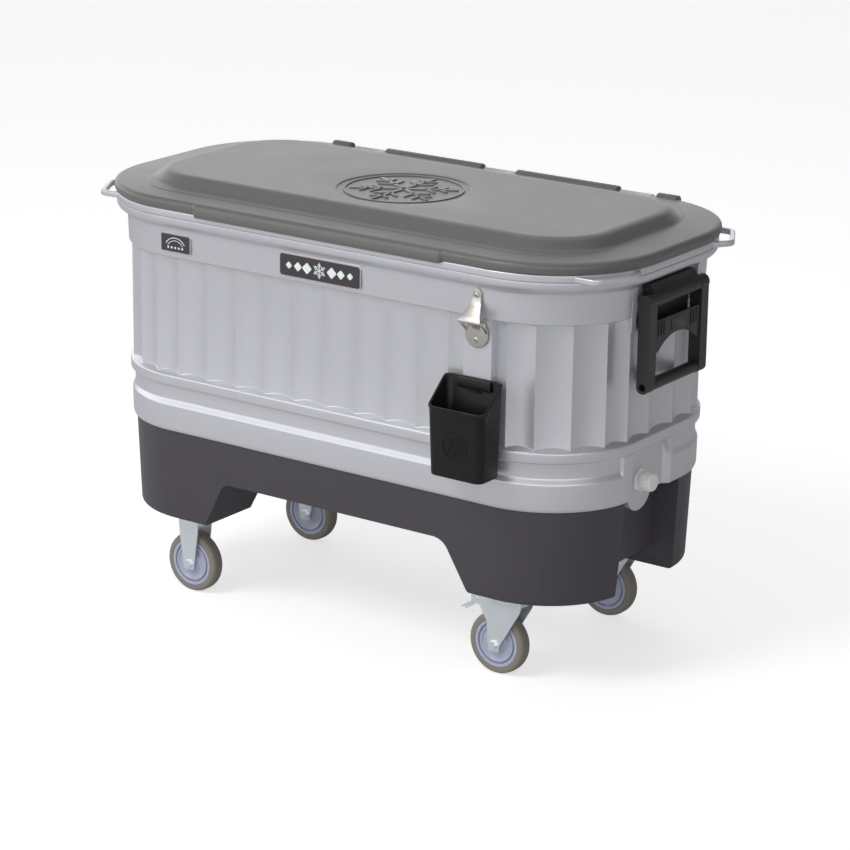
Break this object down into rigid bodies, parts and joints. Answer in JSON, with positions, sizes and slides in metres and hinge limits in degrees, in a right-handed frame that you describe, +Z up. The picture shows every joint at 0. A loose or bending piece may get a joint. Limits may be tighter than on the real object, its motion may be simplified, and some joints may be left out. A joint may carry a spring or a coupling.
{
  "type": "wheeled ice cooler",
  "caption": "Party-size insulated ice cooler on four casters, with hinged lid, swing handles, bottle opener, cap bin and drain.",
  "frame": {"origin": "on the floor under the middle of the cooler's box", "axes": "+X along the long side towards the drain end, +Y to the back (the hinge side), +Z up"},
  "size_m": [1.2878, 0.7019, 0.889],
  "materials": {
    "silver_plastic": "satin metallic silver",
    "lid_grey": "fine grained",
    "liner_white": "smooth white",
    "foam": "rigid foam",
    "base_charcoal": "fine grained",
    "black_plastic": "satin",
    "badge_black": "gloss",
    "nickel_cast": "satin nickel",
    "screw_steel": "plated",
    "drain_white": "moulded",
    "seal_rubber": "soft",
    "zinc_plate": "bright zinc",
    "tyre_grey": "smooth soft tread",
    "hub_lavender": "moulded",
    "bearing_steel": "turned"
  },
  "bodies": {
    "tub": {"outer_shell": "silver_plastic", "foam_insulation": "foam", "inner_liner": "liner_white", "top_rim": "silver_plastic", "base_skirt": "base_charcoal", "base_screws": "screw_steel", "hinge_pins": "screw_steel", "handle_bracket_right": "black_plastic", "handle_bracket_left": "black_plastic", "bracket_screws": "screw_steel", "bottle_opener": "nickel_cast", "opener_screws": "screw_steel", "bin_hook": "black_plastic", "front_nameplate": "badge_black", "side_badge": "badge_black", "drain_spout": "drain_white", "drain_nut": "drain_white", "caster_bolts": "zinc_plate", "caster_fork_front_left": "zinc_plate", "caster_fork_rear_left": "zinc_plate", "axle_bolt_front_left": "zinc_plate", "axle_bolt_rear_left": "zinc_plate", "caster_plate_front_right": "zinc_plate", "caster_plate_rear_right": "zinc_plate"},
    "lid": {"lid_top": "lid_grey", "lid_liner": "liner_white", "lid_foam": "foam"},
    "handle_right": {"handle_right": "black_plastic", "handle_pin_right": "screw_steel"},
    "handle_left": {"handle_left": "black_plastic", "handle_pin_left": "screw_steel"},
    "catch_bin": {"catch_bin": "black_plastic"},
    "drain_seal": {"drain_seal": "seal_rubber"},
    "drain_cap": {"drain_cap": "drain_white"},
    "yoke_front_right": {"caster_yoke_front_right": "zinc_plate", "axle_bolt_front_right": "zinc_plate", "brake_pin_front_right": "zinc_plate"},
    "pedal_front_right": {"brake_pedal_front_right": "zinc_plate"},
    "yoke_rear_right": {"caster_yoke_rear_right": "zinc_plate", "axle_bolt_rear_right": "zinc_plate", "brake_pin_rear_right": "zinc_plate"},
    "pedal_rear_right": {"brake_pedal_rear_right": "zinc_plate"},
    "wheel_front_left": {"tyre_front_left": "tyre_grey", "wheel_hub_front_left": "hub_lavender", "wheel_bearing_front_left": "bearing_steel"},
    "wheel_rear_left": {"tyre_rear_left": "tyre_grey", "wheel_hub_rear_left": "hub_lavender", "wheel_bearing_rear_left": "bearing_steel"},
    "wheel_front_right": {"tyre_front_right": "tyre_grey", "wheel_hub_front_right": "hub_lavender", "wheel_bearing_front_right": "bearing_steel"},
    "wheel_rear_right": {"tyre_rear_right": "tyre_grey", "wheel_hub_rear_right": "hub_lavender", "wheel_bearing_rear_right": "bearing_steel"}
  },
  "joints": [
    {"name": "lid_hinge", "type": "hinge", "parent": "tub", "child": "lid", "pos_m": [0, 0.33875, 0.858], "axis": [-1, 0, 0], "range_deg": [0, 95]},
    {"name": "handle_right_swing", "type": "hinge", "parent": "tub", "child": "handle_right", "pos_m": [0.616, 0.01875, 0.77], "axis": [0, -1, 0], "range_deg": [0, 90]},
    {"name": "handle_left_swing", "type": "hinge", "parent": "tub", "child": "handle_left", "pos_m": [-0.616, 0.01875, 0.77], "axis": [0, 1, 0], "range_deg": [0, 90]},
    {"name": "bin_lift", "type": "slide", "parent": "tub", "child": "catch_bin", "axis": [0, 0, 1], "range_m": [0, 0.018]},
    {"name": "drain_seal_travel", "type": "slide", "parent": "tub", "child": "drain_seal", "axis": [1, 0, 0], "range_m": [0, 0.0066]},
    {"name": "drain_cap_turn", "type": "hinge", "parent": "drain_seal", "child": "drain_cap", "pos_m": [0.6, -0.03025, 0.4], "axis": [1, 0, 0], "range_deg": [0, 1080]},
    {"name": "swivel_front_right", "type": "hinge", "parent": "tub", "child": "yoke_front_right", "pos_m": [0.394, -0.18125, 0.16], "axis": [0, 0, 1], "continuous": true},
    {"name": "brake_front_right", "type": "hinge", "parent": "yoke_front_right", "child": "pedal_front_right", "pos_m": [0.328, -0.18125, 0.15], "axis": [0, 1, 0], "range_deg": [0, 22]},
    {"name": "swivel_rear_right", "type": "hinge", "parent": "tub", "child": "yoke_rear_right", "pos_m": [0.394, 0.21875, 0.16], "axis": [0, 0, 1], "continuous": true},
    {"name": "brake_rear_right", "type": "hinge", "parent": "yoke_rear_right", "child": "pedal_rear_right", "pos_m": [0.328, 0.21875, 0.15], "axis": [0, 1, 0], "range_deg": [0, 22]},
    {"name": "roll_front_left", "type": "hinge", "parent": "tub", "child": "wheel_front_left", "pos_m": [-0.4, -0.18125, 0.0635], "axis": [0, 1, 0], "continuous": true},
    {"name": "roll_rear_left", "type": "hinge", "parent": "tub", "child": "wheel_rear_left", "pos_m": [-0.4, 0.21875, 0.0635], "axis": [0, 1, 0], "continuous": true},
    {"name": "roll_front_right", "type": "hinge", "parent": "yoke_front_right", "child": "wheel_front_right", "pos_m": [0.368, -0.18125, 0.0635], "axis": [0, 1, 0], "continuous": true},
    {"name": "roll_rear_right", "type": "hinge", "parent": "yoke_rear_right", "child": "wheel_rear_right", "pos_m": [0.368, 0.21875, 0.0635], "axis": [0, 1, 0], "continuous": true}
  ],
  "couplings": [
    {"joint": "drain_seal_travel", "follows": "drain_cap_turn", "m_per_rad": 0.00035}
  ]
}
